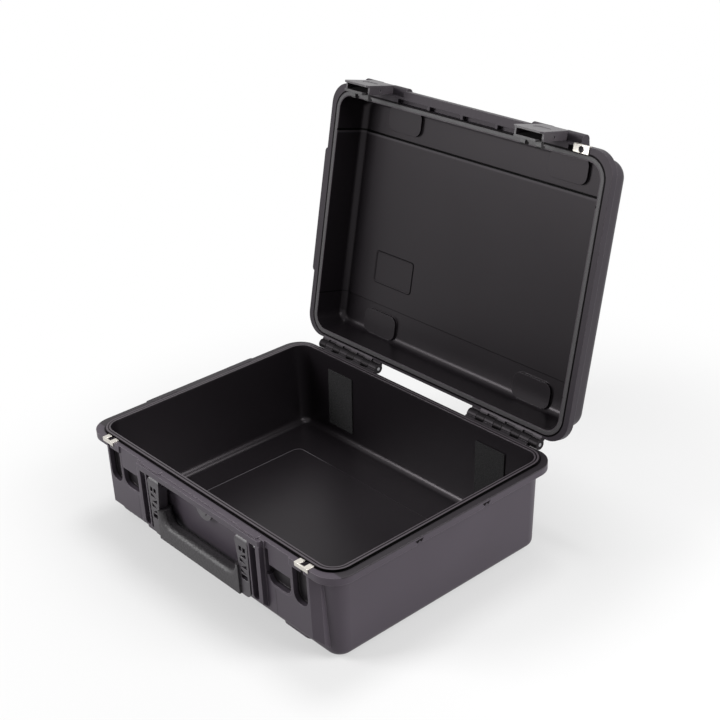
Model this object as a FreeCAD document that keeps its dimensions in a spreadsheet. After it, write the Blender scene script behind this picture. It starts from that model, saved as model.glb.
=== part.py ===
"""Waterproof utility case: a moulded tub and lid with trigger latches, padlock hasps and folding handles.

Millimetres, +Z up, +Y to the hinge side. The origin is the middle of the tub's flat underside, and the feet
reach below it. The lid is drawn in its closed place and then swung open on the hinge.
"""
import math
import os

import FreeCAD
import Part
import Sketcher

# Driving dimensions
SIZES = {
    # Tub
    "rim_length": 476.0,
    "rim_width": 347.0,
    "base_height": 131.0,
    "wall": 4.0,
    "floor_thick": 4.0,
    "draft": 6.0,
    "corner_radius": 21.0,
    "bottom_round": 10.0,
    "floor_round": 10.0,
    "foot_height": 5.0,
    "foot_length": 60.0,
    "foot_depth": 30.0,
    "foot_end_inset": 88.0,
    "foot_inset": 6.0,
    "foot_round": 12.0,
    "panel_step": 1.5,
    "panel_margin_x": 64.0,
    "panel_margin_y": 70.0,
    # Rim and flange
    "rim_strip": 7.0,
    "rim_step": 2.5,
    "flange_thick": 10.0,
    "flange_side": 18.0,
    "flange_front": 16.5,
    "flange_back": 12.0,
    "flange_radius": 31.0,
    "notch_spread": 56.0,
    "notch_width": 13.0,
    # Hinge
    "hinge_reach": 9.5,
    "hinge_drop": 1.0,
    "lid_open": 102.4,
    "knuckle_radius": 7.0,
    "hinge_inset": 138.0,
    "knuckle_pitch": 31.4,
    "base_knuckle": 16.0,
    "lid_knuckle": 14.2,
    "hinge_pin_radius": 2.5,
    "stop_gap": 0.3,
    # Lid
    "lid_height": 54.0,
    "lid_wall": 4.0,
    "lid_draft": 3.0,
    "lid_round": 14.0,
    "lid_inner_round": 10.0,
    "lid_panel_step": 2.0,
    "pad_step": 5.0,
    "pad_skin": 3.0,
    "seal_gap": 0.3,
    "seal_inset": 1.2,
    "seal_width": 4.6,
    "seal_height": 3.8,
    "gusset_pitch": 62.0,
    "gusset_thick": 4.0,
    "skirt_thick": 2.5,
    "skirt_reach": 9.0,
    "channel_width": 6.0,
    "channel_depth": 7.0,
    # Latches
    "latch_inset": 82.0,
    "latch_width": 50.0,
    "latch_neck": 42.0,
    "latch_drop": 50.0,
    "latch_rise": 4.0,
    "latch_plate": 2.6,
    "latch_cheek": 3.0,
    "latch_depth": 12.0,
    "latch_axis_rise": 12.0,
    "latch_axis_reach": 5.0,
    "latch_knuckle": 24.0,
    "latch_pin_radius": 2.0,
    "oval_length": 26.0,
    "oval_width": 13.0,
    "oval_step": 0.6,
    "ear_radius": 7.0,
    "ear_span": 84.0,
    "trigger_axis_drop": 24.0,
    "trigger_pin_radius": 1.5,
    "trigger_thick": 2.5,
    "hook_spread": 13.0,
    "hook_width": 8.0,
    "hook_lip": 2.0,
    "bay_width": 46.0,
    "bay_slot": 7.0,
    "bay_drop": 62.0,
    "bay_round": 12.0,
    "catch_drop": 34.0,
    "catch_thick": 3.5,
    "catch_width": 42.0,
    # Hasps
    "hasp_inset": 35.0,
    "hasp_width": 24.0,
    "hasp_sheet": 1.2,
    "hasp_lip": 5.5,
    "lid_hasp_lip": 5.0,
    "padlock_bore": 8.4,
    "flange_bore": 10.4,
    "hasp_bay_width": 26.0,
    "hasp_post": 3.0,
    "post_step": 1.8,
    # Handles
    "handle_reach": 18.0,
    "front_span": 106.0,
    "side_span": 70.0,
    "arm_width": 26.0,
    "arm_foot": 18.0,
    "arm_thick": 13.6,
    "arm_round": 8.0,
    "handle_drop": 85.0,
    "handle_gap": 1.5,
    "thin_rib": 2.5,
    "side_pocket": 12.0,
    "thick_rib": 7.0,
    "pocket_drop": 92.0,
    "bracket_thick": 8.0,
    "rest_step": 0.6,
    "handle_pin_radius": 2.5,
    "grip_height": 24.0,
    "grip_depth": 20.0,
    "grip_round": 7.0,
    "grip_flare": 18.0,
    "grip_shoulder": 8.5,
    "core_height": 12.0,
    "core_depth": 9.0,
    "lattice_rib": 2.0,
    "lattice_depth": 9.0,
    # Valve, strips and fits
    "vent_width": 32.0,
    "vent_drop": 24.0,
    "vent_thick": 5.0,
    "vent_stem_radius": 7.0,
    "strip_width": 52.0,
    "strip_height": 88.0,
    "strip_thick": 2.2,
    "strip_inset": 87.0,
    "strip_drop": 22.0,
    "running_fit": 0.05,
    "clearance": 0.4,
    "lap": 1.0,
}

LATTICE_CELLS = 4
KNUCKLES = 4


class Size:
    """A number together with the spreadsheet expression that it comes from."""

    def __init__(self, value, text):
        self.value = value
        self.text = text

    def joined(self, sign, other, value):
        return Size(value, f"({self.text} {sign} {other.text})")

    def __add__(self, other):
        other = as_size(other)
        return self.joined("+", other, self.value + other.value)

    def __sub__(self, other):
        other = as_size(other)
        return self.joined("-", other, self.value - other.value)

    def __mul__(self, other):
        other = as_size(other)
        return self.joined("*", other, self.value * other.value)

    def __truediv__(self, other):
        other = as_size(other)
        return self.joined("/", other, self.value / other.value)

    def __radd__(self, other):
        return as_size(other) + self

    def __rsub__(self, other):
        return as_size(other) - self

    def __rmul__(self, other):
        return as_size(other) * self

    def __neg__(self):
        return Size(-self.value, f"(-1 * {self.text})")


def as_size(number):
    if isinstance(number, Size):
        return number
    return Size(float(number), f"({float(number)})")


def cosine(angle):
    return Size(math.cos(math.radians(angle.value)), f"cos({angle.text})")


def sine(angle):
    return Size(math.sin(math.radians(angle.value)), f"sin({angle.text})")


class Sizes:
    """Attribute access to the sheet's cells."""


def make_sheet(doc):
    sheet = doc.addObject("Spreadsheet::Sheet", "dims")
    cells = Sizes()
    for row, (name, value) in enumerate(SIZES.items(), start=1):
        sheet.set(f"A{row}", name)
        sheet.set(f"B{row}", str(value))
        sheet.setAlias(f"B{row}", name)
        setattr(cells, name, Size(value, f"dims.{name}"))
    doc.recompute()
    return cells


doc = FreeCAD.newDocument("utility_case")
d = make_sheet(doc)


# Levels and reaches that several pieces share
rim = d.base_height
flange_top = rim - d.rim_step
flange_low = flange_top - d.flange_thick
floor_top = d.floor_thick
half_x = d.rim_length / 2
half_y = d.rim_width / 2
foot_x = half_x - d.foot_end_inset
latch_x = half_x - d.latch_inset
hasp_x = half_x - d.hasp_inset
strip_x = half_x - d.strip_inset
knuckle_x = half_x - d.hinge_inset
wall_x = half_x + d.wall
wall_y = half_y + d.wall
flange_x = half_x + d.flange_side
flange_front = half_y + d.flange_front
flange_back = half_y + d.flange_back
hinge_y = flange_back + d.hinge_reach
hinge_z = rim - d.hinge_drop
lid_face = rim + d.seal_gap
lid_top = rim + d.lid_height
lid_ceiling = lid_top - d.lid_wall
latch_y = flange_front + d.latch_axis_reach
latch_z = rim + d.latch_axis_rise
bay_face = flange_front - 2
deep_face = wall_y + 2
catch_low = rim - d.catch_drop
bay_low = rim - d.bay_drop
plate_out = latch_y + d.ear_radius + d.lap
plate_in = plate_out - d.latch_plate
cheek_in = plate_out - d.latch_depth
trigger_y = latch_y + 0.5
trigger_z = rim - d.trigger_axis_drop
handle_z = flange_low - d.arm_thick / 2 - 0.7
handle_foot = handle_z - d.handle_drop + d.arm_thick / 2


def bind(target, path, size):
    target.setExpression(path, as_size(size).text)


def new_body(name):
    body = doc.addObject("PartDesign::Body", name)
    body.Label = name
    return body


def origin_feature(body, role):
    return next(item for item in body.Origin.OriginFeatures if item.Role == role)


def new_sketch(body, role, offset=0.0):
    """A sketch on one of the body's origin planes, moved along the plane's normal."""
    sketch = body.newObject("Sketcher::SketchObject", f"{body.Name}_sketch")
    sketch.AttachmentSupport = [(origin_feature(body, role), "")]
    sketch.MapMode = "FlatFace"
    bind(sketch, "AttachmentOffset.Base.z", offset)
    return sketch


def hold(sketch, kind, geometry, point, size):
    """Tie a point's distance from the sketch's origin to a size."""
    size = as_size(size)
    if size.value == 0.0:
        axis = -2 if kind == "DistanceX" else -1
        sketch.addConstraint(Sketcher.Constraint("PointOnObject", geometry, point, axis))
        return
    index = sketch.addConstraint(Sketcher.Constraint(kind, -1, 1, geometry, point, size.value))
    bind(sketch, f"Constraints[{index}]", size)


def hold_radius(sketch, geometry, size):
    size = as_size(size)
    index = sketch.addConstraint(Sketcher.Constraint("Radius", geometry, size.value))
    bind(sketch, f"Constraints[{index}]", size)


def circle(sketch, x, y, radius):
    centre = FreeCAD.Vector(as_size(x).value, as_size(y).value, 0)
    shape = Part.Circle(centre, FreeCAD.Vector(0, 0, 1), as_size(radius).value)
    index = sketch.addGeometry(shape, False)
    hold(sketch, "DistanceX", index, 3, x)
    hold(sketch, "DistanceY", index, 3, y)
    hold_radius(sketch, index, radius)


def corner_arc(before, corner, after, radius):
    """The rounding arc of a corner: its end points, the arc, and whether it runs with the outline."""
    to_before = (before - corner).normalize()
    to_after = (after - corner).normalize()
    half = to_before.getAngle(to_after) / 2
    reach = radius / math.tan(half)
    start = corner + to_before * reach
    end = corner + to_after * reach
    middle = corner + (to_before + to_after).normalize() * (radius / math.sin(half))
    turn = (corner - before).cross(after - corner).z
    first, last = (start, end) if turn > 0 else (end, start)
    angles = [math.atan2((p - middle).y, (p - middle).x) for p in (first, last)]
    ring = Part.Circle(middle, FreeCAD.Vector(0, 0, 1), radius)
    return start, end, Part.ArcOfCircle(ring, angles[0], angles[1]), turn > 0


def outline(sketch, corners):
    """A closed outline of straight sides. A corner is (x, y), or (x, y, radius) where it is rounded."""
    count = len(corners)
    places = [FreeCAD.Vector(as_size(c[0]).value, as_size(c[1]).value, 0) for c in corners]
    starts = list(places)
    ends = list(places)
    arcs = {}
    for i, corner in enumerate(corners):
        if len(corner) == 3:
            radius = as_size(corner[2]).value
            arc = corner_arc(places[i - 1], places[i], places[(i + 1) % count], radius)
            ends[i], starts[i] = arc[0], arc[1]
            arcs[i] = arc
    sides = []
    for i in range(count):
        side = Part.LineSegment(starts[i], ends[(i + 1) % count])
        sides.append(sketch.addGeometry(side, False))
    for i, corner in enumerate(corners):
        before, after = sides[i - 1], sides[i]
        if i in arcs:
            curve = sketch.addGeometry(arcs[i][2], False)
            into, out = (1, 2) if arcs[i][3] else (2, 1)
            sketch.addConstraint(Sketcher.Constraint("Tangent", before, 2, curve, into))
            sketch.addConstraint(Sketcher.Constraint("Tangent", curve, out, after, 1))
            hold_radius(sketch, curve, corner[2])
            point = sketch.addGeometry(Part.Point(places[i]), True)
            sketch.addConstraint(Sketcher.Constraint("PointOnObject", point, 1, before))
            sketch.addConstraint(Sketcher.Constraint("PointOnObject", point, 1, after))
        else:
            point = after
            sketch.addConstraint(Sketcher.Constraint("Coincident", before, 2, after, 1))
        hold(sketch, "DistanceX", point, 1, corner[0])
        hold(sketch, "DistanceY", point, 1, corner[1])


def box(sketch, x0, x1, y0, y1, radius=None):
    corners = [(x0, y0), (x1, y0), (x1, y1), (x0, y1)]
    if radius is not None:
        corners = [corner + (radius,) for corner in corners]
    outline(sketch, corners)


def centred(sketch, x, y, radius):
    box(sketch, -x, x, -y, y, radius)


def pad(body, sketch, length, reverse=False):
    feature = body.newObject("PartDesign::Pad", f"{body.Name}_pad")
    feature.Profile = sketch
    feature.Reversed = reverse
    bind(feature, "Length", length)
    return feature


def pocket(body, sketch, length, reverse=False):
    feature = body.newObject("PartDesign::Pocket", f"{body.Name}_pocket")
    feature.Profile = sketch
    feature.Reversed = reverse
    bind(feature, "Length", length)
    return feature


def lean(feature, run, rise):
    """Draw a pad's or pocket's sides in by a run over its rise, as a moulded wall needs."""
    bind(feature, "TaperAngle", Size(0.0, f"(-1 * atan({run.text} / {rise.text}))"))
    return feature


def fillet(body, radius, wanted):
    """Round the edges of the body's last feature for which wanted(edge) is true."""
    doc.recompute()
    base = body.Tip
    names = [f"Edge{i}" for i, edge in enumerate(base.Shape.Edges, start=1) if wanted(edge)]
    feature = body.newObject("PartDesign::Fillet", f"{body.Name}_fillet")
    feature.Base = (base, names)
    bind(feature, "Radius", radius)
    return feature


def mirrored(body, features, role="YZ_Plane"):
    feature = body.newObject("PartDesign::Mirrored", f"{body.Name}_mirror")
    feature.Originals = features
    feature.MirrorPlane = (origin_feature(body, role), [""])
    body.Tip = feature
    return feature


def at_level(level):
    """A test for edges that lie at one height."""
    return lambda edge: all(abs(v.Z - level.value) < 1e-4 for v in edge.Vertexes)


def swing_with_lid(body):
    """Carry a piece that is drawn in its closed place to the open lid."""
    turn = FreeCAD.Rotation(FreeCAD.Vector(-1, 0, 0), d.lid_open.value)
    body.Placement = FreeCAD.Placement(FreeCAD.Vector(), turn)
    cos, sin = cosine(d.lid_open), sine(d.lid_open)
    bind(body, "Placement.Rotation.Angle", d.lid_open)
    bind(body, "Placement.Base.y", hinge_y * (1 - cos) - hinge_z * sin)
    bind(body, "Placement.Base.z", hinge_z * (1 - cos) + hinge_y * sin)


class Side:
    """A side of the tub: u runs along it, v out of it from the middle, z up."""

    def __init__(self, face, across, out, wall):
        self.face = face
        self.across = across
        self.out = out
        self.wall = wall
        self.bracket = wall + d.handle_reach

    def facing(self, body, v):
        """A sketch in u and z, at the distance v."""
        return new_sketch(body, self.face, v * self.out)

    def section(self, body, u):
        """A sketch in -v and z, at the place u."""
        return new_sketch(body, self.across, u * self.out)

    def inward_pad(self, body, sketch, length):
        return pad(body, sketch, length, reverse=self.out > 0)

    def inward_pocket(self, body, sketch, length):
        return pocket(body, sketch, length, reverse=self.out < 0)

    def along_pad(self, body, sketch, length):
        return pad(body, sketch, length, reverse=self.out < 0)

    def along_pocket(self, body, sketch, length, back=False):
        return pocket(body, sketch, length, reverse=(self.out > 0) != back)

    def along(self, point):
        """A point's place along the side."""
        return point.x if self.out > 0 else point.y

    def outward(self, point):
        """A point's distance out from the middle."""
        return -point.y if self.out > 0 else -point.x

    def across_edge(self, edge):
        """Whether an edge runs out of the side."""
        reach = [self.outward(v.Point) for v in edge.Vertexes]
        return max(reach) - min(reach) > 1e-4

    def end_edge(self, edge, end):
        """Whether an edge lies on one of the two end faces."""
        return all(abs(abs(self.along(v.Point)) - end.value) < 1e-4 for v in edge.Vertexes)

    def plan_box(self, sketch, u0, u1, v0, v1, radius=None):
        if self.out > 0:
            box(sketch, u0, u1, -v1, -v0, radius)
        else:
            box(sketch, -v1, -v0, u0, u1, radius)


front = Side("XZ_Plane", "YZ_Plane", 1, wall_y)
left = Side("YZ_Plane", "XZ_Plane", -1, wall_x)


def rounded_foot(sketch, u0, u1, z0, z1, radius):
    """A pocket outline with a round foot and a square head."""
    outline(sketch, [(u0, z0, radius), (u1, z0, radius), (u1, z1), (u0, z1)])


def chin(body, side, u0, u1, nose, nose_low):
    """A block on a side of the tub that slopes out from the foot of the wall to its nose."""
    profile = side.section(body, u0)
    root = side.wall - d.wall - d.draft
    head = flange_low + 2 * d.lap
    outline(profile, [(-root, d.bottom_round), (-root, head), (-nose, head), (-nose, nose_low)])
    return side.along_pad(body, profile, u1 - u0)


def handle_mount(body, side, span):
    """The bracket over a handle and the ribs that hold its pins."""
    rib0 = span + d.handle_gap
    rib1 = rib0 + d.thin_rib
    rib2 = rib1 + d.side_pocket
    rib3 = rib2 + d.thick_rib
    for turn in (-1, 1):
        u0, u1 = (rib0, rib3) if turn > 0 else (-rib3, -rib0)
        chin(body, side, u0, u1, side.bracket, rim - d.pocket_drop)
    plate = new_sketch(body, "XY_Plane", flange_top - d.lap - d.bracket_thick)
    side.plan_box(plate, -rib3, rib3, side.wall - d.lap, side.bracket, d.thin_rib)
    pad(body, plate, d.bracket_thick)
    rests = new_sketch(body, "XY_Plane", flange_top - d.bracket_thick)
    for turn in (-1, 1):
        u0, u1 = (rib0 - d.arm_width, rib2) if turn > 0 else (-rib2, d.arm_width - rib0)
        edge = side.bracket - d.thin_rib
        side.plan_box(rests, u0, u1, edge - d.bracket_thick, edge, d.lap)
    pad(body, rests, d.bracket_thick + d.rest_step)
    for turn in (-1, 1):
        u0, u1 = (rib1, rib2) if turn > 0 else (-rib2, -rib1)
        hollow = side.facing(body, side.bracket + d.lap)
        rounded_foot(hollow, u0, u1, rim - d.pocket_drop, flange_low, d.side_pocket / 2 - 0.2)
        side.inward_pocket(body, hollow, d.handle_reach)
    for turn in (-1, 1):
        bore = side.section(body, rib0 - d.lap if turn > 0 else -rib0 + d.lap)
        circle(bore, d.arm_thick / 2 - side.bracket, handle_z, d.handle_pin_radius + d.running_fit)
        length = rib2 - rib0 + d.thick_rib / 2 + d.lap
        side.along_pocket(body, bore, length, back=turn < 0)


def make_base():
    body = new_body("base_shell")
    tub = new_sketch(body, "XY_Plane", flange_top)
    centred(tub, wall_x, wall_y, d.corner_radius + d.wall)
    lean(pad(body, tub, flange_top, reverse=True), d.draft, flange_top)
    fillet(body, d.bottom_round, at_level(as_size(0)))

    flange = new_sketch(body, "XY_Plane", flange_low)
    box(flange, -flange_x, flange_x, -flange_front, flange_back, d.flange_radius)
    pad(body, flange, d.flange_thick)
    strip = new_sketch(body, "XY_Plane", flange_low)
    centred(strip, half_x + d.rim_strip, half_y + d.rim_strip, d.corner_radius + d.rim_strip)
    pad(body, strip, d.flange_thick + d.rim_step)

    latch_bosses(body)
    handle_mount(body, front, d.front_span)
    handle_mount(body, left, d.side_span)
    base_knuckles(body)

    feet = new_sketch(body, "XY_Plane", -d.foot_height)
    for sx in (-1, 1):
        for sy in (-1, 1):
            foot_outline(feet, sx, sy, 0)
    pad(body, feet, d.foot_height + floor_top)

    mouth = new_sketch(body, "XY_Plane", rim)
    centred(mouth, half_x, half_y, d.corner_radius)
    depth = rim - floor_top
    lean(pocket(body, mouth, depth), d.draft, depth)
    inside = half_x.value - d.draft.value / 2
    fillet(body, d.floor_round, lambda e: at_level(floor_top)(e) and e.BoundBox.XMax <= inside)

    panel = new_sketch(body, "XY_Plane", floor_top - d.lap)
    centred(panel, half_x - d.panel_margin_x, half_y - d.panel_margin_y, d.foot_round)
    pad(body, panel, d.lap + d.panel_step)

    notches = new_sketch(body, "YZ_Plane", flange_x + d.lap)
    for turn in (-1, 1):
        middle = d.notch_spread * turn
        outline(notches, [(middle - d.notch_width / 2, flange_low - d.lap),
                          (middle + d.notch_width / 2, flange_low - d.lap),
                          (middle, flange_low + d.flange_thick / 2)])
    pocket(body, notches, d.flange_side / 2)

    vent_hole = front.facing(body, wall_y + d.lap)
    circle(vent_hole, 0, vent_level(), d.vent_stem_radius + d.running_fit)
    front.inward_pocket(body, vent_hole, d.wall + d.draft)
    return body


def foot_outline(sketch, sx, sy, grow):
    """One stacking foot, or the recess that takes it when grow is more than nothing."""
    u0 = foot_x - d.foot_length / 2 - grow
    u1 = foot_x + d.foot_length / 2 + grow
    v1 = wall_y - d.draft - d.foot_inset + grow
    v0 = v1 - d.foot_depth - 2 * as_size(grow)
    x0, x1 = (u0, u1) if sx > 0 else (-u1, -u0)
    y0, y1 = (v0, v1) if sy > 0 else (-v1, -v0)
    box(sketch, x0, x1, y0, y1, d.foot_round)


def latch_bosses(body):
    """The posts beside each latch and hasp, with the latch bay, its catch and the hasp bay."""
    bay0 = latch_x - d.bay_width / 2
    bay1 = latch_x + d.bay_width / 2
    hasp0 = bay1 + d.hasp_post
    hasp1 = hasp0 + d.hasp_bay_width
    outside = flange_front + d.handle_reach
    nose = flange_front - d.post_step
    end = hasp1 + d.thin_rib
    foot = 3 * d.bottom_round
    made = [chin(body, front, d.front_span + d.handle_gap, end + d.bay_round, nose, foot)]
    bevel = new_sketch(body, "XY_Plane", flange_low)
    outline(bevel, [(end, -nose - d.lap), (end + d.bay_round + d.lap, -nose - d.lap),
                    (end + d.bay_round + d.lap, -wall_y - d.lap)])
    made.append(pocket(body, bevel, rim))
    gap = new_sketch(body, "XY_Plane", rim + d.lap)
    front.plan_box(gap, bay0, bay1, bay_face, outside)
    made.append(pocket(body, gap, d.rim_step + d.flange_thick + 2 * d.lap))
    shallow = front.facing(body, outside)
    rounded_foot(shallow, bay0, bay1, bay_low, flange_low, d.bay_round)
    made.append(front.inward_pocket(body, shallow, outside - bay_face))
    catch0 = latch_x - d.catch_width / 2
    catch1 = latch_x + d.catch_width / 2
    deep = front.facing(body, outside)
    rounded_foot(deep, catch0, catch1, bay_low + d.thin_rib, catch_low, d.bay_round)
    made.append(front.inward_pocket(body, deep, outside - deep_face))
    behind = front.facing(body, bay_face - d.catch_thick)
    box(behind, catch0, catch1, catch_low - d.catch_thick, catch_low + d.bay_round)
    made.append(front.inward_pocket(body, behind, bay_face - d.catch_thick - deep_face))
    slot = front.facing(body, outside)
    box(slot, bay0 - d.thin_rib, bay0 - d.thin_rib + d.bay_slot, bay_low + d.bay_round, flange_low)
    made.append(front.inward_pocket(body, slot, outside - deep_face))
    hasp_bay = front.facing(body, outside)
    rounded_foot(hasp_bay, hasp0, hasp1, bay_low, flange_low, d.hasp_bay_width / 2 - d.lap)
    made.append(front.inward_pocket(body, hasp_bay, outside - deep_face))
    bore = new_sketch(body, "XY_Plane", flange_top + d.lap)
    circle(bore, hasp_x, hasp_y(), d.flange_bore / 2)
    made.append(pocket(body, bore, d.flange_thick + 2 * d.lap))
    mirrored(body, made)


def hasp_y():
    """The middle of the padlock holes."""
    return -(flange_front + half_y + d.rim_strip) / 2


def knuckle_row(body, first, width, root, low, high):
    """A barrel along one side of the hinge, and the web from its shell's flange."""
    start = first - width / 2
    length = d.knuckle_pitch * (KNUCKLES - 1) + width
    barrel = new_sketch(body, "YZ_Plane", start)
    circle(barrel, hinge_y, hinge_z, d.knuckle_radius)
    made = [pad(body, barrel, length)]
    web = new_sketch(body, "YZ_Plane", start)
    outline(web, [(root, low), (hinge_y, hinge_z - d.knuckle_radius / 2),
                  (hinge_y, hinge_z + d.knuckle_radius / 2), (root, high)])
    made.append(pad(body, web, length))
    return start, length, made


def cut_knuckles(body, first, width, made):
    gaps = new_sketch(body, "XY_Plane", lid_face + 3 * d.knuckle_radius)
    for i in range(KNUCKLES - 1):
        middle = first + d.knuckle_pitch * (i + 0.5)
        reach = (d.knuckle_pitch - width) / 2
        box(gaps, middle - reach, middle + reach, flange_back, hinge_y + 3 * d.knuckle_radius)
    made.append(pocket(body, gaps, 6 * d.knuckle_radius))
    bore = new_sketch(body, "YZ_Plane", first - width)
    circle(bore, hinge_y, hinge_z, d.hinge_pin_radius + d.running_fit)
    made.append(pocket(body, bore, d.knuckle_pitch * KNUCKLES + width, reverse=True))
    mirrored(body, made)


def base_knuckles(body):
    root = flange_back - d.flange_back / 4
    low = flange_low - d.lap
    start, length, made = knuckle_row(body, knuckle_x, d.base_knuckle, root, low, flange_top)
    nose = new_sketch(body, "YZ_Plane", start)
    inner = opened(-d.hinge_reach + d.stop_gap, d.knuckle_radius * 0.3)
    outer = opened(-d.hinge_reach + d.stop_gap, d.knuckle_radius * 0.9)
    outline(nose, [(hinge_y, hinge_z), (hinge_y + d.knuckle_radius - d.lap, hinge_z), outer, inner])
    made.append(pad(body, nose, length))
    cut_knuckles(body, knuckle_x, d.base_knuckle, made)


def opened(y, z):
    """Where a place beside the hinge axis goes when the lid is open."""
    cos, sin = cosine(d.lid_open), sine(d.lid_open)
    return hinge_y + y * cos + z * sin, hinge_z - y * sin + z * cos


def make_lid():
    body = new_body("lid_shell")
    dome = new_sketch(body, "XY_Plane", lid_face)
    centred(dome, wall_x, wall_y, d.corner_radius + d.wall)
    depth = lid_top - lid_face
    lean(pad(body, dome, depth), d.lid_draft, depth)
    fillet(body, d.lid_round, at_level(lid_top))

    flange = new_sketch(body, "XY_Plane", lid_face)
    box(flange, -flange_x + d.lap, flange_x - d.lap, -flange_front, flange_back, d.flange_radius)
    pad(body, flange, d.flange_thick)
    skirt = new_sketch(body, "XY_Plane", lid_face)
    skirt_end = latch_x - d.ear_span / 2 - d.thin_rib
    front.plan_box(skirt, -skirt_end, skirt_end, flange_front - d.thin_rib,
                   flange_front + d.skirt_reach, d.thin_rib / 2)
    pad(body, skirt, d.flange_thick)
    rib3 = d.side_span + d.handle_gap + d.thin_rib + d.side_pocket + d.thick_rib
    bump = new_sketch(body, "XY_Plane", lid_face)
    left.plan_box(bump, -rib3, rib3, wall_x, left.bracket - d.lap, d.bay_round / 2)
    pad(body, bump, d.bracket_thick)

    latch_ears(body)
    first = knuckle_x + d.knuckle_pitch / 2
    root = flange_back - d.thin_rib
    made = knuckle_row(body, first, d.lid_knuckle, root, lid_face, lid_face + d.flange_thick)[2]
    cut_knuckles(body, first, d.lid_knuckle, made)

    mouth = new_sketch(body, "XY_Plane", lid_face)
    centred(mouth, half_x, half_y, d.corner_radius)
    depth = lid_ceiling - lid_face
    lean(pocket(body, mouth, depth, reverse=True), d.lid_draft, depth)
    inside = half_x.value
    fillet(body, d.lid_inner_round, lambda e: at_level(lid_ceiling)(e) and e.BoundBox.XMax <= inside)

    pads = new_sketch(body, "XY_Plane", lid_top - d.pad_step - d.pad_skin)
    recesses = new_sketch(body, "XY_Plane", lid_top + d.lap)
    for sx in (-1, 1):
        for sy in (-1, 1):
            foot_outline(pads, sx, sy, d.pad_skin)
            foot_outline(recesses, sx, sy, d.clearance)
    pad(body, pads, d.pad_step)
    pocket(body, recesses, d.pad_step + d.lap)
    panel = new_sketch(body, "XY_Plane", lid_ceiling - d.lid_panel_step)
    panel_y = half_y - d.foot_inset - d.foot_depth - d.draft - 3 * d.pad_skin
    panel_x = half_x - d.lid_inner_round - d.lid_draft
    box(panel, -panel_x, panel_x, -panel_y, panel_y, d.pad_skin)
    pad(body, panel, d.lid_panel_step + d.lap)
    dish = new_sketch(body, "XY_Plane", lid_top + d.lap)
    box(dish, -half_x + d.foot_depth, half_x - d.foot_depth, -panel_y, panel_y, d.foot_round)
    pocket(body, dish, d.lid_panel_step + d.lap)

    groove = new_sketch(body, "XY_Plane", lid_face)
    seal_outline(groove, 0)
    pocket(body, groove, d.seal_height, reverse=True)
    channels = new_sketch(body, "XY_Plane", lid_face)
    v1 = flange_front - d.skirt_thick
    for i in (-2, -1, 0, 1):
        u0 = d.gusset_pitch * i + d.gusset_thick / 2
        u1 = d.gusset_pitch * (i + 1) - d.gusset_thick / 2
        box(channels, u0, u1, -v1, d.channel_width - v1)
    for turn in (-1, 1):
        u0 = latch_x + d.latch_width / 2 + d.lap
        u1 = hasp_x - d.hasp_width / 2 - d.lap
        box(channels, u0 * turn, u1 * turn, -v1, d.channel_width - v1)
    pocket(body, channels, d.channel_depth, reverse=True)
    bores = new_sketch(body, "XY_Plane", lid_face + d.flange_thick + d.lap)
    for turn in (-1, 1):
        circle(bores, hasp_x * turn, hasp_y(), d.flange_bore / 2)
    pocket(body, bores, d.flange_thick + 2 * d.lap)
    swing_with_lid(body)
    return body


def seal_outline(sketch, fit):
    inset = d.seal_inset + fit
    outset = d.seal_inset + d.seal_width - fit
    centred(sketch, half_x + inset, half_y + inset, d.corner_radius + inset)
    centred(sketch, half_x + outset, half_y + outset, d.corner_radius + outset)


def latch_ears(body):
    start = latch_x - d.ear_span / 2
    barrel = new_sketch(body, "YZ_Plane", start)
    circle(barrel, -latch_y, latch_z, d.ear_radius)
    made = [pad(body, barrel, d.ear_span)]
    web = new_sketch(body, "YZ_Plane", start)
    outline(web, [(-wall_y + d.lap, lid_face + d.ear_radius / 2), (-latch_y, latch_z - d.ear_radius),
                  (-latch_y, latch_z + d.ear_radius), (-wall_y + d.wall, latch_z + 2 * d.ear_radius)])
    made.append(pad(body, web, d.ear_span))
    gap = new_sketch(body, "XY_Plane", latch_z + 3 * d.ear_radius)
    reach = d.latch_knuckle / 2 + d.clearance
    front.plan_box(gap, latch_x - reach, latch_x + reach,
                   latch_y - d.ear_radius, latch_y + 2 * d.ear_radius)
    made.append(pocket(body, gap, 4.5 * d.ear_radius))
    bore = new_sketch(body, "YZ_Plane", start + d.thin_rib)
    circle(bore, -latch_y, latch_z, d.latch_pin_radius + d.running_fit)
    made.append(pocket(body, bore, d.ear_span - 2 * d.thin_rib, reverse=True))
    mirrored(body, made)


def make_gasket():
    body = new_body("lid_gasket")
    ring = new_sketch(body, "XY_Plane", lid_face - d.running_fit)
    seal_outline(ring, d.running_fit)
    pad(body, ring, d.seal_height)
    swing_with_lid(body)


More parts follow.
